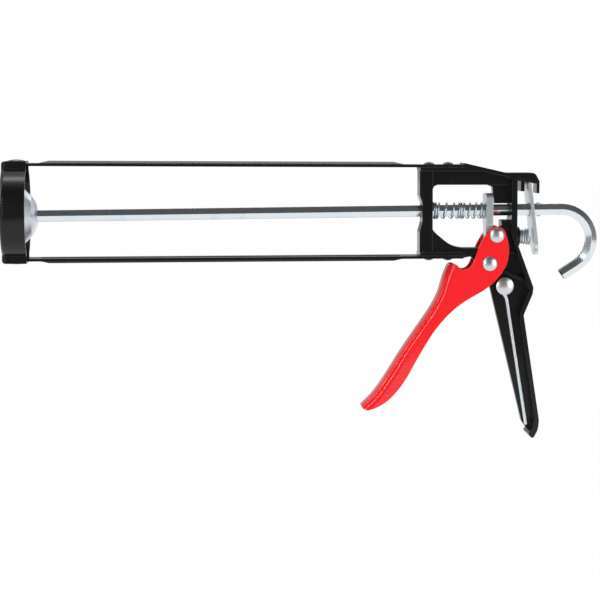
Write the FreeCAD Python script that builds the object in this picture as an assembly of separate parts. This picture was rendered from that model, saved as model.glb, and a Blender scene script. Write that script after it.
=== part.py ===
import FreeCAD, Part
import math
import os

V = FreeCAD.Vector

# Row frame: X runs along the barrel towards the handle, X = 0 on the front plate's outer face,
# Y is across, Z is up, and Z = 0 is midway between the rails.
# Pieces are drawn from the casting's front post; the export moves them all to the row frame.

# ---- overall sizes ----
BAY_LENGTH = 221.6          # clear length for the cartridge, cup rim to front post
POST_X = 235.6              # front face of the casting's post
RAIL_END_X = 260.3          # where the rails butt against the casting's step
RAIL_HALF_WIDTH = 10.0
RAIL_THICK = 1.5
CUP_RADIUS = 27.0
RAIL_FRONT_Z = CUP_RADIUS + 0.5     # outer face of a rail inside the cup
RAIL_REAR_Z = 26.6          # outer face of a rail on the casting

# ---- trigger channel: what stands between its flanks follows its inside width ----
TRIGGER_HALF_WIDTH = 8.5
TRIGGER_SHEET = 1.6
CHANNEL_HALF = TRIGGER_HALF_WIDTH - TRIGGER_SHEET

# ---- front cup ----
CUP_DEPTH = 14.0
CUP_WALL = 1.2
CUP_FRONT_THICK = 1.5
PAD_Z = RAIL_FRONT_Z + CUP_WALL
PAD_HALF_WIDTH = RAIL_HALF_WIDTH + 0.3 + CUP_WALL
NOZZLE_HOLE_RADIUS = 12.0
CUP_EDGE_ROUND = 2.2
CUP_FRONT_X = POST_X - BAY_LENGTH - CUP_DEPTH
CUP_RIVET_X = CUP_FRONT_X + 8.0

# ---- embossed rib along each rail ----
RIB_START_X = CUP_FRONT_X + 20.0
RIB_END_X = POST_X - 8.3
RIB_HALF_WIDTH = 4.5
RIB_HEIGHT = 1.4
RIB_RAMP = 6.0
RIB_SLOPE = 1.2

# ---- casting: head and handle ----
POST_THICK = 7.4
POST_HALF_WIDTH = 7.0
POST_NOTCH = 1.5
HEAD_WEB_HALF = CHANNEL_HALF - 0.9
REAR_WEB_HALF = 3.4
FLANGE_HALF_WIDTH = 10.0
FLANGE_THICK = 2.1
WINDOW_TOP_Z = 15.1
WINDOW_BOTTOM_Z = -20.8
WINDOW_REAR_X = 277.8
REAR_WALL_X = 290.9
REAR_WALL_THICK = 3.3
PIVOT_BOSS_RADIUS = 8.2
PIVOT_BOSS_HALF = CHANNEL_HALF - 0.45
CROSS_RIB_HALF = 7.2
HANDLE_WEB_HALF = 2.2
HOOD_HALF_WIDTH = 6.5
SPRING_SEAT_RADIUS = 5.6
SPRING_SEAT_X = 293.2

# ---- push rod, modelled along its own axis, then tilted ----
ROD_FLATS = 6.35
ROD_CORNER_RADIUS = ROD_FLATS / math.sqrt(3.0)
ROD_TILT_DEG = 0.65         # the rod droops a little towards the plunger
ROD_PIVOT_X = 225.0
ROD_SHOULDER_X = CUP_FRONT_X + 19.4
ROD_BEND_X = 317.2
HOOK_RADIUS = 17.3
HOOK_SWEEP_DEG = 148.0
HOOK_TAIL = 11.0
ROD_END_CHAMFER = 0.8
CRIMP_X = 302.6
CRIMP_LENGTH = 3.1
CRIMP_HEIGHT = 0.8
ROD_HOLE_RADIUS = ROD_CORNER_RADIUS + 0.633826

# ---- plunger ----
PLUNGER_RADIUS = CUP_RADIUS - 4.4
PLUNGER_THICK = 1.3
PLUNGER_HUB_RADIUS = 4.0
TENON_RADIUS = 2.4
WASHER_RADIUS = PLUNGER_HUB_RADIUS + 1.0
WASHER_THICK = 1.3

# ---- trigger ----
PIVOT_X = 275.6
PIVOT_Z = -29.6
TRIGGER_FOLD_RADIUS = 5.0
PIVOT_SHANK_RADIUS = 2.3
PIVOT_HEAD_RADIUS = 4.1
PIVOT_CLEARANCE = 0.08
DRIVE_PIN_X = 279.6
DRIVE_PIN_Z = -13.4
DRIVE_PIN_RADIUS = 1.9
DRIVE_HEAD_RADIUS = 4.15
HEAD_GAP = 0.3

# ---- drive plate ----
DRIVE_PLATE_X = 273.5
DRIVE_PLATE_THICK = 3.9
DRIVE_PLATE_TOP_Z = 10.2
DRIVE_PLATE_HALF_WIDTH = 8.0
DRIVE_TONGUE_HALF_WIDTH = CHANNEL_HALF - 0.9
DRIVE_TONGUE_TOP_Z = -7.4
DRIVE_TONGUE_BOTTOM_Z = -19.4
PLATE_HOLE_CLEARANCE = 0.35

# ---- brake plate ----
BRAKE_HINGE_X = 298.0
BRAKE_HINGE_Z = 15.4
BRAKE_THICK = 1.9
BRAKE_TILT_DEG = 6.7
BRAKE_HALF_WIDTH = 10.4
BRAKE_DROP = 36.8
BRAKE_TAB_DROP = 40.4
BRAKE_TAB_HALF_WIDTH = 6.5

# ---- springs ----
SPRING_WIRE = 1.15
SPRING_COIL_RADIUS = ROD_CORNER_RADIUS + 0.883826
SPRING_TURN_X = (
    243.9, 245.1, 246.4, 250.6, 255.2, 258.6, 259.85, 261.1, 264.3, 267.8, 271.35, 272.55
)
DRIVE_SPRING_Z = 0.38
BRAKE_SPRING_WIRE = 0.9
BRAKE_SPRING_Z = -14.5
BRAKE_SPRING_TURN_X = (293.95, 294.9, 296.4, 297.9, 299.0)
BRAKE_SPRING_START_RADIUS = 3.7
BRAKE_SPRING_END_RADIUS = 4.6

# ---- seal pin ----
SEAL_X = 284.7
SEAL_Z = -42.6
SEAL_WIRE_RADIUS = 1.15
SEAL_SHANK_RADIUS = 2.3
SEAL_HEAD_RADIUS = 5.1
SEAL_Y = -(HANDLE_WEB_HALF + 0.3 + SEAL_WIRE_RADIUS)
SEAL_EXIT_DEG = 235.0       # where the wire leaves its eye
SEAL_BEND_RADIUS = 8.5
SEAL_TIP_X = 297.8
SEAL_TIP_Z = -122.2

# ---- rail rivets ----
RAIL_RIVET_X = (241.5, 252.4)
RAIL_RIVET_HEAD_RADIUS = 3.0
RAIL_RIVET_HEAD_HEIGHT = 1.5
RAIL_RIVET_SHANK_RADIUS = 1.8
RAIL_RIVET_DEPTH = 7.0
FIXED_FIT = 0.02


# ---------------------------------------------------------------- helpers

def box(x0, x1, y0, y1, z0, z1):
    """Axis-aligned block between two corners."""
    return Part.makeBox(x1 - x0, y1 - y0, z1 - z0, V(x0, y0, z0))


def corner_arc(before, corner, after, radius):
    """Start, middle and end of the arc that rounds one corner of an XZ outline."""
    into = (before - corner).normalize()
    out = (after - corner).normalize()
    half = math.acos(max(-1.0, min(1.0, into.dot(out)))) / 2.0
    reach = radius / math.tan(half)
    bisector = (into + out).normalize()
    centre = corner + bisector * (radius / math.sin(half))
    return corner + into * reach, centre - bisector * radius, corner + out * reach


def outline_face(points, y=0.0):
    """Flat face in the XZ plane from (x, z) or (x, z, corner radius) entries."""
    corners = [V(p[0], y, p[1]) for p in points]
    radii = [p[2] if len(p) > 2 else 0.0 for p in points]
    count = len(corners)
    spans = []
    for i in range(count):
        if radii[i] > 0.0:
            spans.append(corner_arc(corners[i - 1], corners[i], corners[(i + 1) % count], radii[i]))
        else:
            spans.append((corners[i], None, corners[i]))
    edges = []
    for i in range(count):
        start, middle, end = spans[i]
        if middle is not None:
            edges.append(Part.Arc(start, middle, end).toShape())
        follow = spans[(i + 1) % count][0]
        if (follow - end).Length > 1e-6:
            edges.append(Part.makeLine(end, follow))
    return Part.Face(Part.Wire(edges))


def prism(points, half_width):
    """Solid with an XZ outline, as wide as half_width on each side of Y = 0."""
    return outline_face(points, -half_width).extrude(V(0, 2.0 * half_width, 0))


def spline(points, y):
    """Smooth edge through (x, z) points."""
    curve = Part.BSplineCurve()
    curve.interpolate([V(x, y, z) for x, z in points])
    return curve.toShape()


def rod_along_y(x, z, radius, y0, y1):
    """Cylinder across the part, from y0 to y1."""
    return Part.makeCylinder(radius, y1 - y0, V(x, y0, z), V(0, 1, 0))


def dome(centre, direction, radius, height, rim=0.35):
    """Low rivet head: a short rim with a spherical cap, standing along direction."""
    cap = height - rim
    ball = (radius * radius + cap * cap) / (2.0 * cap)
    disc = Part.makeCylinder(radius, height, centre, direction)
    sphere = Part.makeSphere(ball, centre + direction * (height - ball))
    return disc.common(sphere)


def fuse(shapes):
    """One clean solid from several."""
    result = shapes[0].multiFuse(shapes[1:])
    return result.removeSplitter()


def tilt_with_rod(shape):
    """Turn a shape built on the level rod axis onto the real, drooping one."""
    turned = shape.copy()
    turned.rotate(V(ROD_PIVOT_X, 0, 0), V(0, 1, 0), -ROD_TILT_DEG)
    return turned


def hex_face(x, flats):
    """Hexagon square to the rod, flats above and below."""
    radius = flats / math.sqrt(3.0)
    corners = []
    for i in range(6):
        angle = math.radians(60.0 * i)
        corners.append(V(x, radius * math.cos(angle), radius * math.sin(angle)))
    corners.append(corners[0])
    return Part.Face(Part.makePolygon(corners))


def round_face(centre, normal, radius):
    """Disc used as the section of a wire."""
    return Part.Wire(Part.makeCircle(radius, centre, normal))


# ---------------------------------------------------------------- barrel

def cup_section(radius, pad_z, pad_half_width, x0, x1):
    """Cup body: a drum with a flat pad above and below."""
    drum = Part.makeCylinder(radius, x1 - x0, V(x0, 0, 0), V(1, 0, 0))
    pads = box(x0, x1, -pad_half_width, pad_half_width, -pad_z, pad_z)
    return fuse([drum, pads])


def make_front_cup():
    """Deep-drawn cup with the nozzle hole in its front plate and a pad over each rail."""
    rim_x = CUP_FRONT_X + CUP_DEPTH
    outer = cup_section(CUP_RADIUS, PAD_Z, PAD_HALF_WIDTH, CUP_FRONT_X, rim_x)
    front = [e for e in outer.Edges if e.BoundBox.XMax < CUP_FRONT_X + 0.01]
    outer = outer.makeFillet(CUP_EDGE_ROUND, front)
    inner = cup_section(
        CUP_RADIUS - CUP_WALL,
        PAD_Z - CUP_WALL,
        PAD_HALF_WIDTH - CUP_WALL,
        CUP_FRONT_X + CUP_FRONT_THICK,
        rim_x + 1.0,
    )
    hole = Part.makeCylinder(NOZZLE_HOLE_RADIUS, 6.0, V(CUP_FRONT_X - 1.0, 0, 0), V(1, 0, 0))
    cup = outer.cut(inner).cut(hole)
    for side in (1, -1):
        cup = cup.cut(cup_rivet_shank(side, FIXED_FIT))
    return cup


def cup_rivet_shank(side, extra):
    """Shank through the cup's pad and the rail, side +1 above and -1 below."""
    length = CUP_WALL + RAIL_THICK
    start = V(CUP_RIVET_X, 0, side * (RAIL_FRONT_Z - RAIL_THICK))
    return Part.makeCylinder(RAIL_RIVET_SHANK_RADIUS + extra, length, start, V(0, 0, side))


def make_cup_rivet(side):
    """Flush-headed rivet that holds a rail in the cup."""
    head = dome(V(CUP_RIVET_X, 0, side * PAD_Z), V(0, 0, side), 5.0, 0.9, 0.15)
    return fuse([head, cup_rivet_shank(side, 0.0)])


def rib_solid(base_front, base_rear, height, half_width, start, end, ramp):
    """Long raised rib with ramped ends and sloping sides, on a rail whose face falls slightly."""
    bend_x = CUP_FRONT_X + CUP_DEPTH + 1.0

    def face_z(x):
        share = (x - bend_x) / (POST_X - bend_x)
        return base_front + (base_rear - base_front) * share

    outline = [
        (start, face_z(start) - 0.4),
        (end, face_z(end) - 0.4),
        (end, face_z(end)),
        (end - ramp, face_z(end - ramp) + height),
        (start + ramp, face_z(start + ramp) + height),
        (start, face_z(start)),
    ]
    rib = prism(outline, half_width)
    crest = [e for e in rib.Edges if e.Length > (end - start) * 0.8 and e.BoundBox.ZMin > base_rear + 0.4]
    return rib.makeChamfer(RIB_SLOPE, crest)


def make_upper_rail():
    """Flat strap, inside the cup at one end and on the casting at the other, with an embossed rib."""
    bend_x = CUP_FRONT_X + CUP_DEPTH + 1.0
    start_x = CUP_FRONT_X + CUP_FRONT_THICK + 0.3
    outline = [
        (start_x, RAIL_FRONT_Z),
        (bend_x, RAIL_FRONT_Z),
        (POST_X, RAIL_REAR_Z),
        (RAIL_END_X, RAIL_REAR_Z),
        (RAIL_END_X, RAIL_REAR_Z - RAIL_THICK),
        (POST_X, RAIL_REAR_Z - RAIL_THICK),
        (bend_x, RAIL_FRONT_Z - RAIL_THICK),
        (start_x, RAIL_FRONT_Z - RAIL_THICK),
    ]
    strap = prism(outline, RAIL_HALF_WIDTH)
    rib = rib_solid(
        RAIL_FRONT_Z, RAIL_REAR_Z, RIB_HEIGHT, RIB_HALF_WIDTH, RIB_START_X, RIB_END_X, RIB_RAMP
    )
    groove = rib_solid(
        RAIL_FRONT_Z - RAIL_THICK,
        RAIL_REAR_Z - RAIL_THICK,
        RIB_HEIGHT,
        RIB_HALF_WIDTH - 1.0,
        RIB_START_X + 1.0,
        RIB_END_X - 1.0,
        RIB_RAMP,
    )
    strap = fuse([strap, rib]).cut(groove)
    strap = strap.cut(cup_rivet_shank(1, FIXED_FIT))
    for x in RAIL_RIVET_X:
        strap = strap.cut(rail_rivet_shank(x, 1, FIXED_FIT))
    return strap


def make_lower_rail():
    """The upper rail's mirror image."""
    return make_upper_rail().mirror(V(0, 0, 0), V(0, 0, 1))


def rail_rivet_shank(x, side, extra):
    """Shank from a rail's outer face into the casting."""
    start = V(x, 0, side * RAIL_REAR_Z)
    depth = RAIL_THICK + RAIL_RIVET_DEPTH + extra
    if side < 0:
        depth = RAIL_THICK + 3.4 + extra
    return Part.makeCylinder(RAIL_RIVET_SHANK_RADIUS + extra, depth, start, V(0, 0, -side))


def make_rail_rivet(x, side):
    """Low-headed rivet that holds a rail on the casting."""
    base = V(x, 0, side * RAIL_REAR_Z)
    head = dome(base, V(0, 0, side), RAIL_RIVET_HEAD_RADIUS, RAIL_RIVET_HEAD_HEIGHT)
    return fuse([head, rail_rivet_shank(x, side, 0.0)])


# ---------------------------------------------------------------- casting

def head_web():
    """Middle of the head: front post, beams round the window and the thinner rear web."""
    inner_z = RAIL_REAR_Z - RAIL_THICK
    post = prism(
        [
            (POST_X, -inner_z),
            (POST_X, -11.5, 1.0),
            (POST_X + POST_NOTCH, -6.0, 1.0),
            (POST_X + POST_NOTCH, 4.6, 1.0),
            (POST_X, 9.0, 1.0),
            (POST_X, inner_z),
            (POST_X + POST_THICK, inner_z),
            (POST_X + POST_THICK, -inner_z),
        ],
        POST_HALF_WIDTH,
    )
    top_beam = prism(
        [
            (POST_X, inner_z),
            (RAIL_END_X, inner_z),
            (287.0, 19.5),
            (288.0, WINDOW_TOP_Z),
            (POST_X, WINDOW_TOP_Z),
        ],
        HEAD_WEB_HALF,
    )
    bottom_beam = prism(
        [
            (POST_X, -inner_z),
            (RAIL_END_X, -inner_z),
            (RAIL_END_X, -inner_z - 1.4, 0.4),
            (266.5, -25.2),
            (272.0, -25.2),
            (272.0, WINDOW_BOTTOM_Z),
            (POST_X, WINDOW_BOTTOM_Z),
        ],
        HEAD_WEB_HALF,
    )
    side_y = -HEAD_WEB_HALF
    post_back = POST_X + POST_THICK
    gusset_curve = [
        (post_back, -9.7),
        (244.2, -11.6),
        (247.0, -14.1),
        (250.0, -16.6),
        (253.6, -18.9),
        (257.6, -20.3),
        (262.0, WINDOW_BOTTOM_Z),
    ]
    gusset_root = WINDOW_BOTTOM_Z - 1.2
    gusset_back = [
        V(262.0, side_y, WINDOW_BOTTOM_Z),
        V(262.0, side_y, gusset_root),
        V(POST_X + 1.0, side_y, gusset_root),
        V(POST_X + 1.0, side_y, -9.7),
        V(post_back, side_y, -9.7),
    ]
    gusset_edges = [spline(gusset_curve, side_y)] + Part.makePolygon(gusset_back).Edges
    gusset = Part.Face(Part.Wire(gusset_edges)).extrude(V(0, 2.0 * HEAD_WEB_HALF, 0))
    top = WINDOW_TOP_Z
    corner = prism(
        [
            (post_back - 1.0, top + 0.9),
            (post_back + 2.5, top + 0.9),
            (post_back + 2.5, top - 0.1),
            (post_back + 0.9, top - 0.8),
            (post_back + 0.1, top - 2.5),
            (post_back - 1.0, top - 2.5),
        ],
        HEAD_WEB_HALF,
    )
    return [post, top_beam, bottom_beam, gusset, corner]


def rear_web():
    """Thin web behind the window, above and below the rod's slot, down to the pivot boss."""
    above = prism(
        [
            (274.0, 16.0),
            (274.4, WINDOW_TOP_Z),
            (277.4, 13.9),
            (WINDOW_REAR_X, 11.0),
            (278.6, 4.5),
            (288.5, 4.5),
            (288.5, 17.0),
        ],
        REAR_WEB_HALF,
    )
    below = prism(
        [
            (282.4, -4.9),
            (288.5, -4.9),
            (288.5, -12.0),
            (296.6, -33.0),
            (296.6, -36.4),
            (272.5, -36.4),
            (278.0, -24.0),
            (282.3, -19.5),
        ],
        REAR_WEB_HALF,
    )
    block_outline = [(282.4, -4.9, 1.0), (288.5, -4.9), (288.5, -10.4), (282.4, -10.4)]
    block = prism(block_outline, PIVOT_BOSS_HALF - 0.4)
    boss = rod_along_y(PIVOT_X, PIVOT_Z, PIVOT_BOSS_RADIUS, -PIVOT_BOSS_HALF, PIVOT_BOSS_HALF)
    link = prism([(264.0, -24.4), (272.0, -22.0), (276.0, -26.0), (272.0, -33.0)], REAR_WEB_HALF)
    rib = prism([(284.6, -33.2), (295.0, -37.5), (295.0, -39.6), (284.2, -35.2)], CROSS_RIB_HALF)
    short_outline = [(284.4, -22.6), (290.5, -22.6), (290.5, -23.9), (284.4, -23.9)]
    short_rib = prism(short_outline, PIVOT_BOSS_HALF - 0.6)
    return [above, below, block, boss, link, rib, short_rib]


def perimeter_flange():
    """Wide flange round the head's top, bottom and back, running on down the back of the handle."""
    inner_z = RAIL_REAR_Z - RAIL_THICK
    top = prism(
        [
            (POST_X, inner_z - FLANGE_THICK, 0.6),
            (POST_X, inner_z, 0.6),
            (RAIL_END_X, inner_z),
            (RAIL_END_X, inner_z + 2.5, 0.5),
            (285.3, 21.8),
            (302.4, 17.2, 0.5),
            (302.4, 15.6, 0.5),
            (286.5, 19.6, 2.0),
            (282.5, 20.4, 3.0),
            (270.3, inner_z - FLANGE_THICK, 3.0),
        ],
        FLANGE_HALF_WIDTH,
    )
    bottom = prism(
        [
            (POST_X, -inner_z, 0.6),
            (POST_X, -inner_z + FLANGE_THICK, 0.6),
            (260.3, -inner_z + FLANGE_THICK, 0.6),
            (261.6, -inner_z + 0.3, 0.4),
            (260.3, -inner_z),
        ],
        FLANGE_HALF_WIDTH,
    )
    wall_inner_x = REAR_WALL_X - REAR_WALL_THICK
    back = prism(
        [
            (wall_inner_x, 20.0),
            (REAR_WALL_X, 19.5),
            (REAR_WALL_X, -17.6, 4.0),
            (300.4, -43.2, 1.2),
            (299.9, -47.0, 1.5),
            (294.9, -58.9, 2.5),
            (304.2, -119.4, 8.0),
            (303.6, -124.6, 10.0),
            (300.6, -130.2, 1.2),
            (298.0, -127.0, 0.5),
            (300.4, -124.0, 3.0),
            (301.4, -117.8, 2.0),
            (292.6, -59.2, 3.0),
            (298.1, -44.4, 1.5),
            (295.2, -36.5, 2.0),
            (wall_inner_x, -12.5, 4.0),
        ],
        FLANGE_HALF_WIDTH,
    )
    return [top, bottom, back]


def make_handle_frame():
    """Head and handle in one casting, drilled for the rod, the brake plate and the rivets."""
    handle_web = prism(
        [
            (276.3, -42.6),
            (271.8, -36.0),
            (276.0, -28.0),
            (288.0, -28.0),
            (297.5, -36.0),
            (299.0, -45.0),
            (294.0, -59.0),
            (302.6, -118.0),
            (302.0, -124.0),
            (299.4, -126.5, 0.6),
            (295.2, -120.4, 3.0),
        ],
        HANDLE_WEB_HALF,
    )
    hood = prism(
        [
            (284.0, 20.0),
            (286.0, 21.9, 0.6),
            (301.4, 21.9, 3.2),
            (303.9, 17.2, 1.5),
            (303.9, 14.0),
            (302.3, 14.0),
            (302.3, 15.6),
            (290.0, 17.5),
        ],
        HOOD_HALF_WIDTH,
    )
    rear_prong = box(302.3, 303.9, -HOOD_HALF_WIDTH, HOOD_HALF_WIDTH, 10.3, 17.5)
    front_prong = box(293.4, 295.4, -HOOD_HALF_WIDTH, HOOD_HALF_WIDTH, 11.4, 18.5)
    seat = Part.makeCylinder(
        SPRING_SEAT_RADIUS, SPRING_SEAT_X - 289.0, V(289.0, 0, BRAKE_SPRING_Z), V(1, 0, 0)
    )
    casting = fuse(
        head_web() + rear_web() + perimeter_flange() + [handle_web, hood, rear_prong, front_prong, seat]
    )
    rod_hole = Part.makeCylinder(ROD_HOLE_RADIUS, 70.0, V(230.0, 0, 0), V(1, 0, 0))
    casting = casting.cut(tilt_with_rod(rod_hole))
    hinge_slot = rod_along_y(BRAKE_HINGE_X, BRAKE_HINGE_Z, BRAKE_THICK / 2.0 + 0.3, -12.0, 12.0)
    casting = casting.cut(hinge_slot)
    casting = casting.cut(rod_along_y(PIVOT_X, PIVOT_Z, PIVOT_SHANK_RADIUS + FIXED_FIT, -12.0, 12.0))
    casting = casting.cut(rod_along_y(SEAL_X, SEAL_Z, SEAL_SHANK_RADIUS + FIXED_FIT, -12.0, 12.0))
    for x in RAIL_RIVET_X:
        casting = casting.cut(rail_rivet_shank(x, 1, FIXED_FIT))
        casting = casting.cut(rail_rivet_shank(x, -1, FIXED_FIT))
    return casting


def make_pivot_rivet():
    """Trigger pivot: shank through the boss, a low dome each side outside the trigger."""
    face = TRIGGER_HALF_WIDTH + HEAD_GAP
    shank = rod_along_y(PIVOT_X, PIVOT_Z, PIVOT_SHANK_RADIUS, -face, face)
    near = dome(V(PIVOT_X, -face, PIVOT_Z), V(0, -1, 0), PIVOT_HEAD_RADIUS, 1.4)
    far = dome(V(PIVOT_X, face, PIVOT_Z), V(0, 1, 0), PIVOT_HEAD_RADIUS, 1.4)
    return fuse([shank, near, far])


def make_seal_rivet():
    """Rivet that holds the seal pin's eye against the handle web."""
    near_face = SEAL_Y - SEAL_WIRE_RADIUS - HEAD_GAP
    shank = rod_along_y(SEAL_X, SEAL_Z, SEAL_SHANK_RADIUS, near_face, REAR_WEB_HALF)
    near = dome(V(SEAL_X, near_face, SEAL_Z), V(0, -1, 0), SEAL_HEAD_RADIUS, 1.5)
    far = dome(V(SEAL_X, REAR_WEB_HALF, SEAL_Z), V(0, 1, 0), 3.6, 1.3)
    return fuse([shank, near, far])


# ---------------------------------------------------------------- rod and plunger

def make_push_rod():
    """Hexagonal rod: tenon and peened end in the plunger, crimped lugs, and a hook for the hand."""
    straight = hex_face(ROD_SHOULDER_X, ROD_FLATS).extrude(V(ROD_BEND_X - ROD_SHOULDER_X, 0, 0))
    bend = hex_face(ROD_BEND_X, ROD_FLATS).revolve(
        V(ROD_BEND_X, 0, -HOOK_RADIUS), V(0, 1, 0), HOOK_SWEEP_DEG
    )
    angle = math.radians(HOOK_SWEEP_DEG)
    end = V(ROD_BEND_X + HOOK_RADIUS * math.sin(angle), 0, HOOK_RADIUS * (math.cos(angle) - 1.0))
    heading = V(math.cos(angle), 0, -math.sin(angle))
    tail = hex_face(ROD_BEND_X, ROD_FLATS)
    tail.rotate(V(ROD_BEND_X, 0, -HOOK_RADIUS), V(0, 1, 0), HOOK_SWEEP_DEG)
    tail = tail.extrude(heading * HOOK_TAIL)
    far_point = end + heading * HOOK_TAIL
    end_edges = []
    for edge in tail.Edges:
        if all(abs((v.Point - far_point).dot(heading)) < 0.01 for v in edge.Vertexes):
            end_edges.append(edge)
    tail = tail.makeChamfer(ROD_END_CHAMFER, end_edges)
    tenon_start = ROD_SHOULDER_X - PLUNGER_THICK - WASHER_THICK
    tenon = Part.makeCylinder(TENON_RADIUS, ROD_SHOULDER_X - tenon_start, V(tenon_start, 0, 0), V(1, 0, 0))
    peen = dome(V(tenon_start, 0, 0), V(-1, 0, 0), 3.8, 1.6)
    lugs = []
    for side in (1, -1):
        root = side * (ROD_FLATS / 2.0 - 0.5)
        top = side * (ROD_FLATS / 2.0 + CRIMP_HEIGHT)
        start = V(CRIMP_X, -1.3, root)
        end_point = V(CRIMP_X + CRIMP_LENGTH, -1.3, root)
        arc = Part.Arc(start, V(CRIMP_X + CRIMP_LENGTH / 2.0, -1.3, top), end_point).toShape()
        face = Part.Face(Part.Wire([arc, Part.makeLine(end_point, start)]))
        lugs.append(face.extrude(V(0, 2.6, 0)))
    return tilt_with_rod(fuse([straight, bend, tail, tenon, peen] + lugs))


def dish_face(points):
    """Half section of a turned piece from (x, radius) entries."""
    corners = [V(x, 0, r) for x, r in points]
    corners.append(corners[0])
    return Part.Face(Part.makePolygon(corners))


def make_plunger_plate():
    """Stamped dish that pushes the cartridge's base, domed towards the handle."""
    t = PLUNGER_THICK
    x = ROD_SHOULDER_X
    section = [
        (x, TENON_RADIUS + FIXED_FIT),
        (x, PLUNGER_HUB_RADIUS + 1.5),
        (x - 0.9, 8.3),
        (x - 2.9, 11.3),
        (x - 6.4, 14.7),
        (x - 13.6, PLUNGER_RADIUS - 1.0),
        (x - 15.4, PLUNGER_RADIUS),
        (x - 16.4, PLUNGER_RADIUS),
        (x - 16.4, PLUNGER_RADIUS - t),
        (x - 15.6, PLUNGER_RADIUS - t - 0.2),
        (x - 14.2, PLUNGER_RADIUS - t - 1.4),
        (x - 7.4, 13.6),
        (x - 3.9, 10.3),
        (x - 2.0, 7.6),
        (x - t, PLUNGER_HUB_RADIUS + 1.2),
        (x - t, TENON_RADIUS + FIXED_FIT),
    ]
    dish = dish_face(section).revolve(V(0, 0, 0), V(1, 0, 0), 360)
    return tilt_with_rod(dish)


def make_plunger_washer():
    """Washer under the peened end; a little smaller than the flat at the dish's middle."""
    x = ROD_SHOULDER_X - PLUNGER_THICK - WASHER_THICK
    disc = Part.makeCylinder(WASHER_RADIUS, WASHER_THICK, V(x, 0, 0), V(1, 0, 0))
    bore = Part.makeCylinder(TENON_RADIUS + FIXED_FIT, WASHER_THICK + 2, V(x - 1, 0, 0), V(1, 0, 0))
    return tilt_with_rod(disc.cut(bore))


# ---------------------------------------------------------------- trigger

TRIGGER_FRONT = (
    (251.6, -31.6),
    (249.6, -36.6),
    (247.1, -45.0),
    (243.4, -52.9),
    (237.0, -62.7),
    (230.6, -71.9),
    (225.0, -80.2),
    (218.7, -90.4),
    (213.3, -98.6),
    (207.7, -105.7),
    (202.6, -110.6),
)
TRIGGER_REAR = (
    (208.0, -112.7),
    (217.6, -107.6),
    (223.1, -102.0),
    (227.6, -95.8),
    (232.1, -87.9),
    (237.6, -78.2),
    (243.0, -69.6),
    (248.4, -62.6),
    (253.8, -57.0),
    (259.3, -52.5),
    (265.6, -48.6),
    (272.0, -44.9),
    (277.5, -40.6),
    (281.9, -35.8),
    (285.0, -30.4),
    (286.4, -24.4),
    (286.2, -18.6),
    (284.8, -13.6),
)
TRIGGER_NECK = (
    (275.6, -10.3),
    (272.3, -14.7),
    (269.2, -20.5),
    (267.2, -26.0),
    (265.3, -30.6),
    (263.0, -32.7),
    (260.0, -32.8),
    (257.6, -31.2),
)


def offset_points(points, distance):
    """Points moved sideways, to the left of the direction of travel."""
    moved = []
    last = len(points) - 1
    for i in range(len(points)):
        a = points[max(i - 1, 0)]
        b = points[min(i + 1, last)]
        length = math.hypot(b[0] - a[0], b[1] - a[1])
        step_x = -(b[1] - a[1]) / length * distance
        step_z = (b[0] - a[0]) / length * distance
        moved.append((points[i][0] + step_x, points[i][1] + step_z))
    return moved


def make_trigger():
    """Stamped channel: a curved web for the fingers and two flanks over the casting."""
    y = -TRIGGER_HALF_WIDTH
    long_front = ((253.2, -26.5),) + TRIGGER_FRONT + ((198.0, -114.8),)
    far = [(198.0, -114.8), (300.0, -140.0), (300.0, 5.0), (256.0, 5.0), (253.2, -26.5)]
    blank_far = Part.makePolygon([V(x, y, z) for x, z in far])
    across = V(0, 2 * TRIGGER_HALF_WIDTH, 0)
    blank = Part.Face(Part.Wire([spline(long_front, y)] + blank_far.Edges)).extrude(across)
    folds = [e for e in blank.Edges if e.BoundBox.YLength < 0.01 and e.BoundBox.XMax < 254.0]
    blank = blank.makeFillet(TRIGGER_FOLD_RADIUS, folds)
    left_points = [(251.6, -31.6), (230.0, -40.0), (190.0, -100.0), (202.6, -110.6)]
    left = Part.makePolygon([V(x, y, z) for x, z in left_points])
    tip = Part.Arc(V(202.6, y, -110.6), V(203.9, y, -112.3), V(208.0, y, -112.7)).toShape()
    rear = spline(TRIGGER_REAR, y)
    crown = Part.Arc(V(284.8, y, -13.6), V(280.6, y, -8.6), V(275.6, y, -10.3)).toShape()
    neck = spline(TRIGGER_NECK, y)
    bump = Part.Arc(V(257.6, y, -31.2), V(254.6, y, -29.7), V(251.6, y, -31.6)).toShape()
    outline = Part.Wire(left.Edges + [tip, rear, crown, neck, bump])
    trimmed = Part.Face(outline).extrude(across)
    body = blank.common(trimmed)
    inner = offset_points(TRIGGER_FRONT, TRIGGER_SHEET)[:-1]
    half = TRIGGER_HALF_WIDTH - TRIGGER_SHEET
    first = inner[0]
    last = inner[-1]
    web_line = spline(inner, -half)
    corners = [last, (210.5, -108.6), (214.0, -118.0), (310.0, -118.0), (310.0, 0.0)]
    corners += [(first[0] + 2.5, 0.0), first]
    open_side = Part.makePolygon([V(x, -half, z) for x, z in corners])
    hollow = Part.Face(Part.Wire([web_line, open_side])).extrude(V(0, 2 * half, 0))
    curved = [e for e in hollow.Edges if isinstance(e.Curve, Part.BSplineCurve)]
    inner_folds = [e for e in curved if e.BoundBox.YLength < 0.01]
    hollow = hollow.makeFillet(TRIGGER_FOLD_RADIUS - TRIGGER_SHEET, inner_folds)
    body = body.cut(hollow)
    body = body.cut(rod_along_y(PIVOT_X, PIVOT_Z, PIVOT_SHANK_RADIUS + PIVOT_CLEARANCE, -12.0, 12.0))
    body = body.cut(rod_along_y(DRIVE_PIN_X, DRIVE_PIN_Z, DRIVE_PIN_RADIUS + FIXED_FIT, -12.0, 12.0))
    return body


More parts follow.
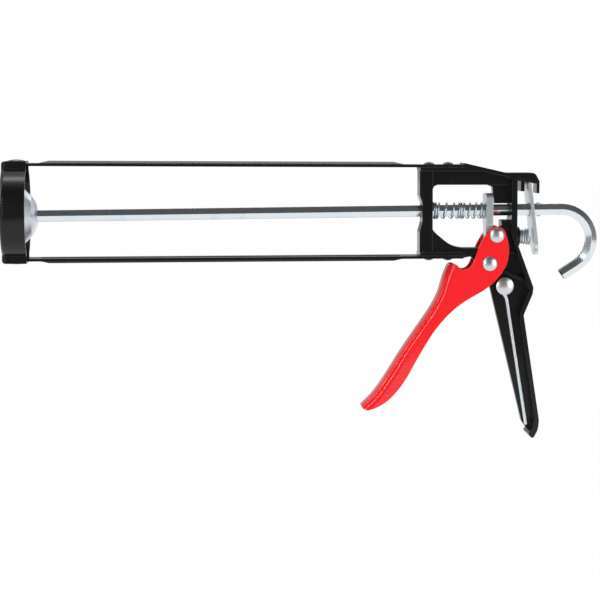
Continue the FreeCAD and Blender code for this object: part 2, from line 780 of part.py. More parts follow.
def make_drive_pin():
    """Rivet across the trigger's flanks that pushes the drive plate."""
    face = TRIGGER_HALF_WIDTH
    shank = rod_along_y(DRIVE_PIN_X, DRIVE_PIN_Z, DRIVE_PIN_RADIUS, -face, face)
    near = dome(V(DRIVE_PIN_X, -face, DRIVE_PIN_Z), V(0, -1, 0), DRIVE_HEAD_RADIUS, 1.5)
    far = dome(V(DRIVE_PIN_X, face, DRIVE_PIN_Z), V(0, 1, 0), DRIVE_HEAD_RADIUS, 1.5)
    return fuse([shank, near, far])


def make_drive_plate():
    """Thick plate on the rod; the pin presses the back of its tongue."""
    x0 = DRIVE_PLATE_X
    x1 = DRIVE_PLATE_X + DRIVE_PLATE_THICK
    half = DRIVE_PLATE_HALF_WIDTH
    body = box(x0, x1, -half, half, DRIVE_TONGUE_TOP_Z, DRIVE_PLATE_TOP_Z)
    corners = [e for e in body.Edges if e.BoundBox.XLength > 3.0 and e.BoundBox.ZMin > 0.0]
    body = body.makeFillet(2.5, corners)
    half = DRIVE_TONGUE_HALF_WIDTH
    tongue = box(x0, x1, -half, half, DRIVE_TONGUE_BOTTOM_Z, DRIVE_TONGUE_TOP_Z + 1.0)
    plate = fuse([body, tongue])
    hole = hex_face(230.0, ROD_FLATS + 2 * PLATE_HOLE_CLEARANCE).extrude(V(60.0, 0, 0))
    return plate.cut(tilt_with_rod(hole))


# ---------------------------------------------------------------- brake plate, springs, seal pin

def make_brake_plate():
    """Leaning plate that locks the rod; its rounded top edge rocks in the casting's hood."""
    r = BRAKE_THICK / 2.0
    x = BRAKE_HINGE_X
    z = BRAKE_HINGE_Z
    top = rod_along_y(x, z, r, -BRAKE_HALF_WIDTH, BRAKE_HALF_WIDTH)
    plate = box(x - r, x + r, -BRAKE_HALF_WIDTH, BRAKE_HALF_WIDTH, z - BRAKE_DROP, z)
    corners = [e for e in plate.Edges if e.BoundBox.XLength > 1.0 and e.BoundBox.ZMax < 0.0]
    plate = plate.makeFillet(2.5, corners)
    half = BRAKE_TAB_HALF_WIDTH
    tab = box(x - r, x + r, -half, half, z - BRAKE_TAB_DROP, z - BRAKE_DROP + 4.0)
    end_z = z - BRAKE_TAB_DROP + 0.1
    corners = [e for e in tab.Edges if e.BoundBox.XLength > 1.0 and e.BoundBox.ZMax < end_z]
    tab = tab.makeFillet(2.0, corners)
    plate = fuse([top, plate, tab])
    plate.rotate(V(x, 0, z), V(0, 1, 0), -BRAKE_TILT_DEG)
    hole = hex_face(280.0, ROD_FLATS + 4 * PLATE_HOLE_CLEARANCE).extrude(V(40.0, 0, 0))
    return plate.cut(tilt_with_rod(hole))


def coil_spring(turn_x, radius0, radius1, wire, axis_z):
    """Spring along X whose coil spacing follows a table of turn positions."""
    steps = 16
    points = []
    count = len(turn_x) - 1
    for i in range(count * steps + 1):
        turn = i / float(steps)
        k = min(int(turn), count - 1)
        share = turn - k
        x = turn_x[k] + (turn_x[k + 1] - turn_x[k]) * share
        radius = radius0 + (radius1 - radius0) * turn / count
        angle = 2.0 * math.pi * turn
        points.append(V(x, -radius * math.cos(angle), axis_z + radius * math.sin(angle)))
    curve = Part.BSplineCurve()
    curve.interpolate(points)
    path = Part.Wire(curve.toShape())
    start = curve.tangent(curve.FirstParameter)[0]
    section = round_face(points[0], start, wire / 2.0)
    return path.makePipeShell([section], True, True)


def make_drive_spring():
    """Spring round the rod that returns the drive plate and the trigger."""
    radius = SPRING_COIL_RADIUS
    return coil_spring(SPRING_TURN_X, radius, radius, SPRING_WIRE, DRIVE_SPRING_Z)


def make_brake_spring():
    """Small spring on the casting's seat that keeps the brake plate leaning."""
    return coil_spring(
        BRAKE_SPRING_TURN_X,
        BRAKE_SPRING_START_RADIUS,
        BRAKE_SPRING_END_RADIUS,
        BRAKE_SPRING_WIRE,
        BRAKE_SPRING_Z,
    )


def make_seal_pin():
    """Wire with an eye round its rivet and a long straight end for piercing the cartridge's seal."""
    y = SEAL_Y
    eye = SEAL_SHANK_RADIUS + 0.1 + SEAL_WIRE_RADIUS
    turn = SEAL_BEND_RADIUS

    def on_circle(centre, radius, angle):
        return V(centre.x + radius * math.cos(angle), y, centre.z + radius * math.sin(angle))

    def on_eye(degrees):
        return on_circle(V(SEAL_X, y, SEAL_Z), eye, math.radians(degrees))

    # The wire leaves the eye along its tangent, bends the other way and runs straight to the tip.
    centre = on_circle(V(SEAL_X, y, SEAL_Z), eye + turn, math.radians(SEAL_EXIT_DEG))
    tip = V(SEAL_TIP_X, y, SEAL_TIP_Z)
    reach = tip - centre
    straight = math.sqrt(reach.Length ** 2 - turn ** 2)
    lean = math.atan2(reach.z, reach.x) + math.atan2(straight, turn)
    enter = math.radians(SEAL_EXIT_DEG - 180.0)
    leave = on_circle(centre, turn, lean)
    edges = [
        Part.Arc(on_eye(-25), on_eye(40), on_eye(110)).toShape(),
        Part.Arc(on_eye(110), on_eye(175), on_eye(SEAL_EXIT_DEG)).toShape(),
        Part.Arc(on_eye(SEAL_EXIT_DEG), on_circle(centre, turn, (enter + lean) / 2.0), leave).toShape(),
        Part.makeLine(leave, tip),
    ]
    path = Part.Wire(edges)
    start = on_eye(-25)
    lead = math.radians(25)
    section = round_face(start, V(math.sin(lead), 0, math.cos(lead)), SEAL_WIRE_RADIUS)
    return path.makePipeShell([section], True, True)


# ---------------------------------------------------------------- export

NODES = {
    "handle_frame": make_handle_frame(),
    "front_cup": make_front_cup(),
    "upper_rail": make_upper_rail(),
    "lower_rail": make_lower_rail(),
    "cup_rivet_top": make_cup_rivet(1),
    "cup_rivet_bottom": make_cup_rivet(-1),
    "upper_rail_rivet_front": make_rail_rivet(RAIL_RIVET_X[0], 1),
    "upper_rail_rivet_rear": make_rail_rivet(RAIL_RIVET_X[1], 1),
    "lower_rail_rivet_front": make_rail_rivet(RAIL_RIVET_X[0], -1),
    "lower_rail_rivet_rear": make_rail_rivet(RAIL_RIVET_X[1], -1),
    "trigger_pivot_rivet": make_pivot_rivet(),
    "seal_pin_rivet": make_seal_rivet(),
    "push_rod": make_push_rod(),
    "plunger_plate": make_plunger_plate(),
    "plunger_washer": make_plunger_washer(),
    "trigger": make_trigger(),
    "drive_pin": make_drive_pin(),
    "drive_plate": make_drive_plate(),
    "brake_plate": make_brake_plate(),
    "seal_pin": make_seal_pin(),
    "drive_spring": make_drive_spring(),
    "brake_spring": make_brake_spring(),
}

os.makedirs("parts", exist_ok=True)
for name, shape in NODES.items():
    solids = shape.Solids
    if len(solids) != 1 or not solids[0].isValid():
        raise ValueError(name + " is not one valid solid: %d" % len(solids))
    solid = solids[0]
    solid.translate(V(-CUP_FRONT_X, 0, 0))
    solid.exportStep("parts/" + name + ".step")
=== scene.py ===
import math

import bpy
import numpy as np
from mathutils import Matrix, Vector


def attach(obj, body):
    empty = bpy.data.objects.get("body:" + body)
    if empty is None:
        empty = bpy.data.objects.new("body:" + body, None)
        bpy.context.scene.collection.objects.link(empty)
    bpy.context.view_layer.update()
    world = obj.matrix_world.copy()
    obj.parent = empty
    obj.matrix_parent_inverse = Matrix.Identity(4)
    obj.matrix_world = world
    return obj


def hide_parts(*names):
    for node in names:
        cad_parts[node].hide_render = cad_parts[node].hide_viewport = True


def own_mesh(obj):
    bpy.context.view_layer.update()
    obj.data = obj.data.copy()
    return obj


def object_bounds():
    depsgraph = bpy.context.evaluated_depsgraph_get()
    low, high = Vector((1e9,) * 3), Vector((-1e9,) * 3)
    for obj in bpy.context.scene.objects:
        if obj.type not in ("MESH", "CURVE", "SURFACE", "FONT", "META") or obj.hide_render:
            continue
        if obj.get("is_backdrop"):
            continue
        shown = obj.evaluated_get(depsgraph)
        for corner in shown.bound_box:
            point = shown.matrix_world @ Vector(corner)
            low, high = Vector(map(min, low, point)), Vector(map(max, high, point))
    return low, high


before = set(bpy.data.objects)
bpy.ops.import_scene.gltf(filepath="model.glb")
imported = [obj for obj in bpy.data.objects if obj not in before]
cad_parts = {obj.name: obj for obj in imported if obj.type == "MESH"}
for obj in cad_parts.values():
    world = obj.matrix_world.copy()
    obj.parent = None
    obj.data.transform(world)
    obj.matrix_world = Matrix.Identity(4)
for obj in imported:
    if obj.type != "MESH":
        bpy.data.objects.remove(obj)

bl_info = {
    "name": "Skeleton caulking gun",
    "version": (1, 0, 0),
    "blender": (4, 5, 0),
    "location": "3D View > Sidebar > Caulking gun",
    "description": "Finishes, springs and studio for a skeleton-frame caulking gun",
    "category": "Object",
}

MM = 0.001
ENAMEL_IOR = 1.34       # low, so that the black stays deep and only its edges shine
FLOOR_GLOW_SHARE = 0.97

BLACK_PARTS = (
    "front_cup",
    "upper_rail",
    "lower_rail",
    "cup_rivet_top",
    "cup_rivet_bottom",
    "upper_rail_rivet_front",
    "upper_rail_rivet_rear",
    "lower_rail_rivet_front",
    "lower_rail_rivet_rear",
)
RIVETS = ("trigger_pivot_rivet", "drive_pin", "seal_pin_rivet")
PRESSED_PARTS = ("plunger_plate", "plunger_washer")
PLATES = ("drive_plate", "brake_plate")


def linear(code):
    """sRGB hex to a linear colour with alpha."""
    values = [int(code[i:i + 2], 16) / 255.0 for i in (1, 3, 5)]
    return tuple(v / 12.92 if v <= 0.04045 else ((v + 0.055) / 1.055) ** 2.4 for v in values) + (1.0,)


# ---------------------------------------------------------------- settings

class CaulkingGunFinish(bpy.types.PropertyGroup):
    """Colours and textures of the paint and plating."""

    black: bpy.props.FloatVectorProperty(
        name="Black enamel", description="Colour of the frame's paint", subtype="COLOR", size=3,
        default=linear("#0C0C0E")[:3], min=0.0, max=1.0,
    )
    red: bpy.props.FloatVectorProperty(
        name="Red enamel", description="Colour of the trigger's paint", subtype="COLOR", size=3,
        default=linear("#E8111B")[:3], min=0.0, max=1.0,
    )
    peel: bpy.props.FloatProperty(
        name="Orange peel", description="Spacing of the ripples in the sprayed paint",
        default=1.4 * MM, min=0.2 * MM, unit="LENGTH",
    )
    edge: bpy.props.FloatProperty(
        name="Edge radius", description="Rounding that paint and tumbling leave on sharp edges",
        default=0.35 * MM, min=0.0, unit="LENGTH",
    )


class CaulkingGunSprings(bpy.types.PropertyGroup):
    """Sizes of the two coil springs."""

    drive_wire: bpy.props.FloatProperty(
        name="Drive wire", description="Wire diameter of the drive spring", default=1.15 * MM, unit="LENGTH"
    )
    drive_radius: bpy.props.FloatProperty(
        name="Drive coil radius", description="Middle of the wire to the spring's axis",
        default=4.55 * MM, unit="LENGTH",
    )
    brake_wire: bpy.props.FloatProperty(
        name="Brake wire", description="Wire diameter of the brake spring", default=0.9 * MM, unit="LENGTH"
    )
    sides: bpy.props.IntProperty(
        name="Wire sides", description="Faces round the wire", default=16, min=6
    )


class CaulkingGunStudio(bpy.types.PropertyGroup):
    """Camera's place, aim and lens."""

    azimuth: bpy.props.FloatProperty(
        name="Azimuth", description="Camera's turn about the upright axis", subtype="ANGLE",
        default=math.radians(-3.0),
    )
    elevation: bpy.props.FloatProperty(
        name="Elevation", description="Camera's height above the horizon", subtype="ANGLE",
        default=math.radians(4.5),
    )
    distance: bpy.props.FloatProperty(
        name="Distance", description="Camera to the point it looks at", default=1.254, unit="LENGTH"
    )
    lens: bpy.props.FloatProperty(
        name="Lens", description="Focal length in millimetres", default=132.0, min=10.0
    )
    target: bpy.props.FloatVectorProperty(
        name="Target", description="Point the camera looks at", subtype="TRANSLATION", size=3,
        default=(0.168, 0.0, -0.0505),
    )


# ---------------------------------------------------------------- material helpers

def add(tree, kind, settings=None, **links):
    """Adds one node: settings are attributes or input values, links are inputs' names and sockets."""
    node = tree.nodes.new(kind)
    for key, value in (settings or {}).items():
        if isinstance(key, int) or key in node.inputs:
            node.inputs[key].default_value = value
        else:
            setattr(node, key, value)
    for key, socket in links.items():
        name = key.replace("_", " ")
        target = node.inputs[int(key[1:])] if key[0] == "i" and key[1:].isdigit() else node.inputs[name]
        tree.links.new(socket, target)
    return node


def new_material(name):
    """Empty material with its Principled shader already on the output."""
    material = bpy.data.materials.new(name)
    material.use_nodes = True
    tree = material.node_tree
    tree.nodes.clear()
    shader = add(tree, "ShaderNodeBsdfPrincipled")
    output = add(tree, "ShaderNodeOutputMaterial")
    tree.links.new(shader.outputs[0], output.inputs[0])
    return material, tree, shader


def noise(tree, vector, spacing, detail=2.0, roughness=0.5):
    """Noise whose features are about spacing metres apart."""
    return add(
        tree, "ShaderNodeTexNoise",
        {"Scale": 1.0 / spacing, "Detail": detail, "Roughness": roughness}, Vector=vector,
    ).outputs["Fac"]


def ramp(tree, value, stops):
    """Colour ramp from (position, linear colour) stops."""
    node = add(tree, "ShaderNodeValToRGB", {}, Fac=value)
    elements = node.color_ramp.elements
    while len(elements) < len(stops):
        elements.new(0.5)
    for element, (place, colour) in zip(elements, stops):
        element.position = place
        element.color = colour
    return node.outputs["Color"]


def grey(value):
    """Linear grey with alpha."""
    return (value, value, value, 1.0)


def enamel(name, colour, darker, peel, edge, roughness, coat):
    """Sprayed and baked enamel on steel or a die casting: a coloured film under its own gloss.

    To the eye: even colour with slow tone drift, a soft ripple in every highlight, gloss that
    comes and goes, and edges where the film has drawn back and rounds the light.
    """
    material, tree, shader = new_material(name)
    place = add(tree, "ShaderNodeTexCoord").outputs["Object"]
    drift = noise(tree, place, 30 * MM, 3.0)
    base = ramp(tree, drift, ((0.3, darker), (0.7, colour)))
    tree.links.new(base, shader.inputs["Base Color"])
    rough = add(
        tree, "ShaderNodeMapRange", {"To Min": roughness * 0.8, "To Max": roughness * 1.3},
        Value=noise(tree, place, 9 * MM, 4.0),
    )
    tree.links.new(rough.outputs[0], shader.inputs["Roughness"])
    rounded = add(tree, "ShaderNodeBevel", {"samples": 6, "Radius": edge})
    ripple = add(
        tree, "ShaderNodeBump", {"Strength": 0.12, "Distance": 0.05 * MM},
        Height=noise(tree, place, peel, 1.0), Normal=rounded.outputs[0],
    )
    tree.links.new(ripple.outputs[0], shader.inputs["Normal"])
    tree.links.new(ripple.outputs[0], shader.inputs["Coat Normal"])
    shader.inputs["IOR"].default_value = ENAMEL_IOR
    shader.inputs["Coat Weight"].default_value = coat
    shader.inputs["Coat Roughness"].default_value = 0.08
    return material


def zinc(name, light, blue, warm, roughness, stretch, line_spacing, edge, depth):
    """Bright zinc plating on steel: a bluish white metal, a little cloudy, with the lines of the
    stock beneath it.

    stretch says how the lines run: a scale for each axis, small along the lines.
    """
    material, tree, shader = new_material(name)
    place = add(tree, "ShaderNodeTexCoord").outputs["Object"]
    cloud = noise(tree, place, 12 * MM, 3.0)
    base = ramp(tree, cloud, ((0.25, warm), (0.5, light), (0.75, blue)))
    tree.links.new(base, shader.inputs["Base Color"])
    shader.inputs["Metallic"].default_value = 1.0
    lined = add(tree, "ShaderNodeMapping", {"Scale": stretch}, Vector=place)
    lines = noise(tree, lined.outputs[0], line_spacing, 3.0, 0.6)
    rough = add(
        tree, "ShaderNodeMapRange", {"To Min": roughness * 0.8, "To Max": roughness * 1.2}, Value=lines
    )
    tree.links.new(rough.outputs[0], shader.inputs["Roughness"])
    rounded = add(tree, "ShaderNodeBevel", {"samples": 6, "Radius": edge})
    marks = add(
        tree, "ShaderNodeBump", {"Strength": depth, "Distance": 0.03 * MM},
        Height=lines, Normal=rounded.outputs[0],
    )
    dents = add(
        tree, "ShaderNodeBump", {"Strength": 0.015, "Distance": 0.08 * MM},
        Height=noise(tree, place, 6 * MM, 1.0), Normal=marks.outputs[0],
    )
    tree.links.new(dents.outputs[0], shader.inputs["Normal"])
    return material


def paint_node(name, material):
    """Gives a CAD node its finish."""
    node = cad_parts[name]
    for slot in node.material_slots:
        slot.material = material


# ---------------------------------------------------------------- surfaces

def grid_faces(rows, columns):
    """Quads of a grid that closes on itself across the columns."""
    first = np.arange(rows - 1)[:, None] * columns + np.arange(columns)[None, :]
    across = np.arange(rows - 1)[:, None] * columns + (np.arange(columns)[None, :] + 1) % columns
    return np.stack([first, across, across + columns, first + columns], axis=-1).reshape(-1, 4)


def coil_surface(turn_x, radius_start, radius_end, wire, axis_z, sides, steps=40):
    """Wire wound round a line along X.

    With t in turns, the wire's middle is x(t) read from the table of turn positions,
    y = -R cos(2 pi t), z = z0 + R sin(2 pi t), where R goes evenly from start to end.
    A circle of half the wire is carried along it, in the plane of the outward direction
    and the one square to it and to the path. The end rings narrow to about half and close flat.
    """
    turns = len(turn_x) - 1
    t = np.linspace(0.0, turns, turns * steps + 1)
    x = np.interp(t, np.arange(turns + 1), turn_x)
    kernel = np.hanning(steps // 2 + 1)
    padded = np.pad(x, len(kernel) // 2, mode="edge")
    x = np.convolve(padded, kernel / kernel.sum(), mode="valid")
    big = radius_start + (radius_end - radius_start) * t / turns
    angle = 2.0 * np.pi * t
    outward = np.stack([np.zeros_like(t), -np.cos(angle), np.sin(angle)], axis=1)
    middle = outward * big[:, None] + np.stack([x, np.zeros_like(t), np.full_like(t, axis_z)], axis=1)
    tangent = np.gradient(middle, axis=0)
    tangent /= np.linalg.norm(tangent, axis=1, keepdims=True)
    side = np.cross(tangent, outward)
    side /= np.linalg.norm(side, axis=1, keepdims=True)
    out = np.cross(side, tangent)
    thickness = np.full_like(t, wire / 2.0)
    thickness[[0, -1]] = wire / 2.0 * 0.55
    phi = np.linspace(0.0, 2.0 * np.pi, sides, endpoint=False)
    ring = out[:, None, :] * np.cos(phi)[None, :, None] + side[:, None, :] * np.sin(phi)[None, :, None]
    points = middle[:, None, :] + ring * thickness[:, None, None]
    rows = len(t)
    vertices = np.concatenate([points.reshape(-1, 3), middle[:1], middle[-1:]])
    faces = grid_faces(rows, sides)[:, ::-1].tolist()
    first_pole, last_pole = rows * sides, rows * sides + 1
    k = np.arange(sides)
    faces += np.stack([np.full(sides, first_pole), k, (k + 1) % sides], axis=1)[:, ::-1].tolist()
    last = (rows - 1) * sides
    faces += np.stack([np.full(sides, last_pole), last + k, last + (k + 1) % sides], axis=1).tolist()
    return vertices, faces


def mesh_object(name, vertices, faces, material):
    """Smooth mesh object at the origin, with outward faces."""
    mesh = bpy.data.meshes.new(name)
    mesh.from_pydata(vertices.tolist(), [], faces)
    mesh.validate()
    mesh.polygons.foreach_set("use_smooth", np.ones(len(mesh.polygons), dtype=bool))
    mesh.materials.append(material)
    mesh.update()
    piece = bpy.data.objects.new(name, mesh)
    bpy.context.scene.collection.objects.link(piece)
    return piece


# ---------------------------------------------------------------- operators

class CAULK_OT_black_enamel(bpy.types.Operator):
    """Paints the casting, cup, rails and their rivets black"""

    bl_idname = "caulk.black_enamel"
    bl_label = "Black enamel"

    def execute(self, context):
        finish = context.scene.caulk_finish
        colour = tuple(finish.black) + (1.0,)
        sheet = enamel(
            "black_enamel_on_steel", colour, linear("#09090A"), finish.peel, finish.edge, 0.24, 0.15
        )
        # A casting's corners are drafted and rounded more than a stamping's.
        cast = enamel(
            "black_enamel_on_casting", colour, linear("#09090B"),
            finish.peel * 0.8, finish.edge * 2.2, 0.24, 0.15,
        )
        for name in BLACK_PARTS:
            paint_node(name, sheet)
        paint_node("handle_frame", cast)
        return {"FINISHED"}


class CAULK_OT_red_enamel(bpy.types.Operator):
    """Paints the trigger red"""

    bl_idname = "caulk.red_enamel"
    bl_label = "Red enamel"

    def execute(self, context):
        finish = context.scene.caulk_finish
        colour = tuple(finish.red) + (1.0,)
        paint_node(
            "trigger",
            enamel("red_enamel_on_steel", colour, linear("#DE0D17"), finish.peel, finish.edge, 0.2, 0.8),
        )
        return {"FINISHED"}


class CAULK_OT_rod_and_plunger(bpy.types.Operator):
    """Plates the drawn rod and the pressed plunger"""

    bl_idname = "caulk.rod_and_plunger"
    bl_label = "Rod and plunger"

    def execute(self, context):
        edge = context.scene.caulk_finish.edge
        # Drawn bar: die lines about 0.15 mm apart run the rod's length; drawn at 0.4 mm to show.
        rod = zinc(
            "zinc_on_drawn_bar", linear("#E2EAF0"), linear("#D4E2EC"), linear("#E6E8E6"),
            0.18, (0.02, 1.0, 1.0), 0.4 * MM, edge, 0.02,
        )
        paint_node("push_rod", rod)
        pressed = zinc(
            "zinc_on_pressed_sheet", linear("#E8ECF4"), linear("#DCE4F2"), linear("#ECECF0"),
            0.4, (1.0, 1.0, 1.0), 1.2 * MM, edge, 0.06,
        )
        for name in PRESSED_PARTS:
            paint_node(name, pressed)
        return {"FINISHED"}


class CAULK_OT_plates(bpy.types.Operator):
    """Plates the drive plate and the brake plate"""

    bl_idname = "caulk.plates"
    bl_label = "Drive and brake plates"

    def execute(self, context):
        edge = context.scene.caulk_finish.edge
        # Barrel-plated blanks: tumbling leaves short scratches, about 0.5 mm apart.
        plate = zinc(
            "zinc_on_blanked_plate", linear("#DCE4E6"), linear("#CEDCE2"), linear("#E0E2DE"),
            0.36, (1.0, 1.0, 0.25), 0.5 * MM, edge, 0.05,
        )
        for name in PLATES:
            paint_node(name, plate)
        return {"FINISHED"}


class CAULK_OT_rivets(bpy.types.Operator):
    """Plates the domed rivets"""

    bl_idname = "caulk.rivets"
    bl_label = "Domed rivets"

    def execute(self, context):
        edge = context.scene.caulk_finish.edge
        rivet = zinc(
            "zinc_on_headed_rivet", linear("#D2D8DC"), linear("#C6D0D8"), linear("#D8D8D6"),
            0.3, (1.0, 1.0, 1.0), 0.9 * MM, edge, 0.04,
        )
        for name in RIVETS:
            paint_node(name, rivet)
        return {"FINISHED"}


class CAULK_OT_springs(bpy.types.Operator):
    """Winds the drive spring and the brake spring, and plates them and the seal pin"""

    bl_idname = "caulk.springs"
    bl_label = "Springs and seal pin"

    # Where each turn of the wire crosses the near side, in millimetres along the gun.
    DRIVE_TURNS = (
        243.9, 245.1, 246.4, 250.6, 255.2, 258.6, 259.85, 261.1, 264.3, 267.8, 271.35, 272.55
    )
    BRAKE_TURNS = (293.95, 294.9, 296.4, 297.9, 299.0)
    DRIVE_AXIS_Z = 0.38 * MM
    DRIVE_SEAT_X = 243.3 * MM
    BRAKE_START_RADIUS = 3.7 * MM
    BRAKE_END_RADIUS = 4.6 * MM
    BRAKE_AXIS_Z = -14.5 * MM
    BRAKE_SEAT_X = 293.4 * MM

    def execute(self, context):
        sizes = context.scene.caulk_springs
        edge = context.scene.caulk_finish.edge
        # Spring wire: die lines follow the wire, too fine to show, so only cloudiness is drawn.
        wire = zinc(
            "zinc_on_spring_wire", linear("#DEE6EA"), linear("#D0DEE8"), linear("#E2E4E2"),
            0.34, (1.0, 1.0, 1.0), 0.9 * MM, edge * 0.3, 0.04,
        )
        paint_node("seal_pin", wire)
        vertices, faces = coil_surface(
            np.array(self.DRIVE_TURNS) * MM, sizes.drive_radius, sizes.drive_radius,
            sizes.drive_wire, self.DRIVE_AXIS_Z, sizes.sides,
        )
        drive = mesh_object("drive_spring_coil", vertices, faces, wire)
        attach(drive, "frame")
        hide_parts("drive_spring")
        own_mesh(drive)
        vertices, faces = coil_surface(
            np.array(self.BRAKE_TURNS) * MM, self.BRAKE_START_RADIUS, self.BRAKE_END_RADIUS,
            sizes.brake_wire, self.BRAKE_AXIS_Z, sizes.sides,
        )
        brake = mesh_object("brake_spring_coil", vertices, faces, wire)
        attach(brake, "frame")
        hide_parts("brake_spring")
        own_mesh(brake)
        return {"FINISHED"}


def area_light(name, place, aim, size, power):
    """Square softbox at place, facing aim."""
    lamp = bpy.data.lights.new(name, "AREA")
    lamp.shape = "RECTANGLE"
    lamp.size, lamp.size_y = size
    lamp.energy = power
    holder = bpy.data.objects.new(name, lamp)
    holder.location = place
    holder.rotation_mode = "QUATERNION"
    holder.rotation_quaternion = (Vector(aim) - Vector(place)).to_track_quat("-Z", "Y")
    bpy.context.scene.collection.objects.link(holder)
    return holder


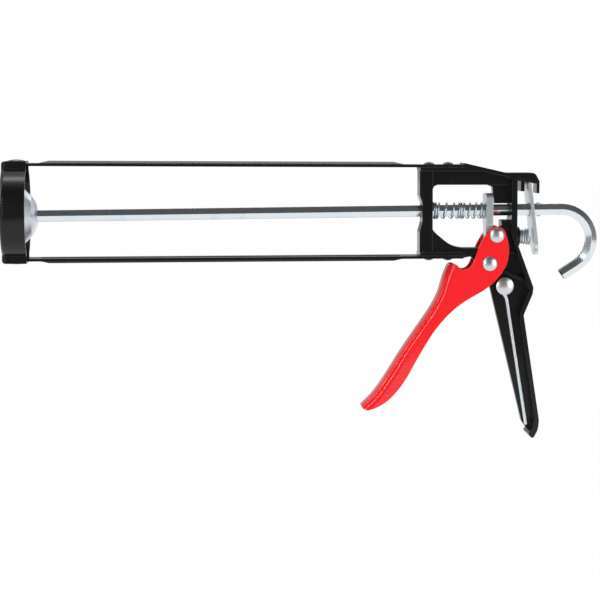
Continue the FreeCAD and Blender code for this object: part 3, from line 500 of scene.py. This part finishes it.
class CAULK_OT_studio(bpy.types.Operator):
    """Pale floor, white surround, softboxes and camera"""

    bl_idname = "caulk.studio"
    bl_label = "Studio"

    def execute(self, context):
        scene = context.scene
        studio = scene.caulk_studio
        low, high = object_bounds()
        self.make_floor(low[2] - 0.4 * MM)
        self.make_world(scene)
        middle = (low + high) / 2
        area_light("overhead_softbox", (middle.x, -0.05, 1.3), middle, (1.2, 0.25), 6.0)
        area_light("fill_softbox", (middle.x + 0.9, -1.0, 0.1), middle, (0.5, 0.8), 4.0)
        area_light("rear_softbox", (middle.x + 0.2, 0.9, 0.9), middle, (1.2, 0.5), 6.0)
        area_light("side_softbox", (middle.x - 1.3, 0.0, 0.6), middle, (0.3, 0.9), 5.0)
        area_light("strip_softbox", (middle.x - 0.75, -1.2, 0.3), middle, (0.08, 1.1), 3.2)
        camera = bpy.data.cameras.new("studio_camera")
        camera.lens = studio.lens
        camera.sensor_width = 36.0
        holder = bpy.data.objects.new("studio_camera", camera)
        azimuth, elevation = studio.azimuth, studio.elevation
        back = Vector((
            math.sin(azimuth) * math.cos(elevation),
            -math.cos(azimuth) * math.cos(elevation),
            math.sin(elevation),
        ))
        holder.location = Vector(studio.target) + back * studio.distance
        holder.rotation_mode = "QUATERNION"
        holder.rotation_quaternion = (-back).to_track_quat("-Z", "Y")
        camera.clip_start, camera.clip_end = 0.01, 100.0
        scene.collection.objects.link(holder)
        scene.camera = holder
        scene.view_settings.view_transform = "Standard"
        return {"FINISHED"}

    def make_floor(self, level):
        """White paper floor that shows nearly white and keeps a soft shadow."""
        half, front = 6.0, 0.45
        corners = np.array(
            [[-half, -front, level], [half, -front, level], [half, half, level], [-half, half, level]]
        )
        mesh = bpy.data.meshes.new("floor")
        mesh.from_pydata(corners.tolist(), [], [[0, 1, 2, 3]])
        floor = bpy.data.objects.new("floor", mesh)
        bpy.context.scene.collection.objects.link(floor)
        material, tree, shader = new_material("white_paper")
        place = add(tree, "ShaderNodeTexCoord").outputs["Object"]
        fibre = noise(tree, place, 2 * MM, 2.0)
        tree.links.new(
            ramp(tree, fibre, ((0.0, linear("#F4F4F4")), (1.0, linear("#FBFBFB")))),
            shader.inputs["Base Color"],
        )
        shader.inputs["Roughness"].default_value = 0.9
        glow = add(tree, "ShaderNodeEmission", {"Color": grey(1.0), "Strength": 1.0})
        path = add(tree, "ShaderNodeLightPath")
        seen = add(
            tree, "ShaderNodeMath", {"operation": "MAXIMUM"},
            i0=path.outputs["Is Camera Ray"], i1=path.outputs["Is Glossy Ray"],
        )
        share = add(
            tree, "ShaderNodeMath", {"operation": "MULTIPLY", 1: FLOOR_GLOW_SHARE}, i0=seen.outputs[0]
        )
        both = add(
            tree, "ShaderNodeMixShader", {}, i0=share.outputs[0], i1=shader.outputs[0], i2=glow.outputs[0]
        )
        output = next(n for n in tree.nodes if n.type == "OUTPUT_MATERIAL")
        tree.links.new(both.outputs[0], output.inputs[0])
        mesh.materials.append(material)
        floor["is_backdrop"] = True

    def make_world(self, scene):
        """White surround. Gloss sees a dim room in front, white walls at the sides, dim again behind."""
        world = bpy.data.worlds.new("studio_surround")
        scene.world = world
        world.use_nodes = True
        tree = world.node_tree
        tree.nodes.clear()
        direction = add(tree, "ShaderNodeTexCoord").outputs["Generated"]
        parts = add(tree, "ShaderNodeSeparateXYZ", {}, Vector=direction)
        room = ramp(
            tree, parts.outputs["Z"],
            ((0.0, grey(0.22)), (0.3, grey(0.2)), (0.5, grey(0.08)), (0.88, grey(0.08)),
             (1.0, grey(0.7))),
        )
        across = add(
            tree, "ShaderNodeMapRange", {"From Min": -1.0, "From Max": 1.0}, Value=parts.outputs["Y"]
        )
        side_share = ramp(
            tree, across.outputs[0],
            ((0.37, grey(0.0)), (0.53, grey(1.0)), (0.72, grey(1.0)), (0.86, grey(0.25))),
        )
        ceiling = add(
            tree, "ShaderNodeMix", {"data_type": "RGBA", 7: grey(1.0)}, i0=side_share, i6=room
        ).outputs[2]
        path = add(tree, "ShaderNodeLightPath")
        seen = add(
            tree, "ShaderNodeMix", {"data_type": "RGBA", 6: grey(0.82)},
            i0=path.outputs["Is Glossy Ray"], i7=ceiling,
        )
        shown = add(
            tree, "ShaderNodeMix", {"data_type": "RGBA", 7: grey(1.0)},
            i0=path.outputs["Is Camera Ray"], i6=seen.outputs[2],
        )
        surround = add(tree, "ShaderNodeBackground", {"Strength": 1.0}, Color=shown.outputs[2])
        output = add(tree, "ShaderNodeOutputWorld")
        tree.links.new(surround.outputs[0], output.inputs[0])


class CAULK_PT_panel(bpy.types.Panel):
    """Lists the pieces and the studio"""

    bl_idname = "CAULK_PT_panel"
    bl_label = "Caulking gun"
    bl_space_type = "VIEW_3D"
    bl_region_type = "UI"
    bl_category = "Caulking gun"

    def draw(self, context):
        for group in (context.scene.caulk_finish, context.scene.caulk_springs, context.scene.caulk_studio):
            column = self.layout.column()
            for name in group.__annotations__:
                column.prop(group, name)
        for operator in OPERATORS:
            self.layout.operator(operator.bl_idname)


SETTINGS = (
    ("caulk_finish", CaulkingGunFinish),
    ("caulk_springs", CaulkingGunSprings),
    ("caulk_studio", CaulkingGunStudio),
)
OPERATORS = (
    CAULK_OT_black_enamel,
    CAULK_OT_red_enamel,
    CAULK_OT_rod_and_plunger,
    CAULK_OT_plates,
    CAULK_OT_rivets,
    CAULK_OT_springs,
    CAULK_OT_studio,
)


def register():
    for name, group in SETTINGS:
        bpy.utils.register_class(group)
        setattr(bpy.types.Scene, name, bpy.props.PointerProperty(type=group))
    for operator in OPERATORS:
        bpy.utils.register_class(operator)
    bpy.utils.register_class(CAULK_PT_panel)


def unregister():
    bpy.utils.unregister_class(CAULK_PT_panel)
    for operator in reversed(OPERATORS):
        bpy.utils.unregister_class(operator)
    for name, group in reversed(SETTINGS):
        delattr(bpy.types.Scene, name)
        bpy.utils.unregister_class(group)


def corners(bounds):
    """A box's two corners as plain lists."""
    return [[float(v) for v in corner] for corner in bounds]


def main():
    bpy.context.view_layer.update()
    register()
    bpy.ops.caulk.black_enamel()
    bpy.ops.caulk.red_enamel()
    bpy.ops.caulk.rod_and_plunger()
    bpy.ops.caulk.plates()
    bpy.ops.caulk.rivets()
    bpy.ops.caulk.springs()
    bpy.ops.caulk.studio()


if __name__ == "__main__":
    main()
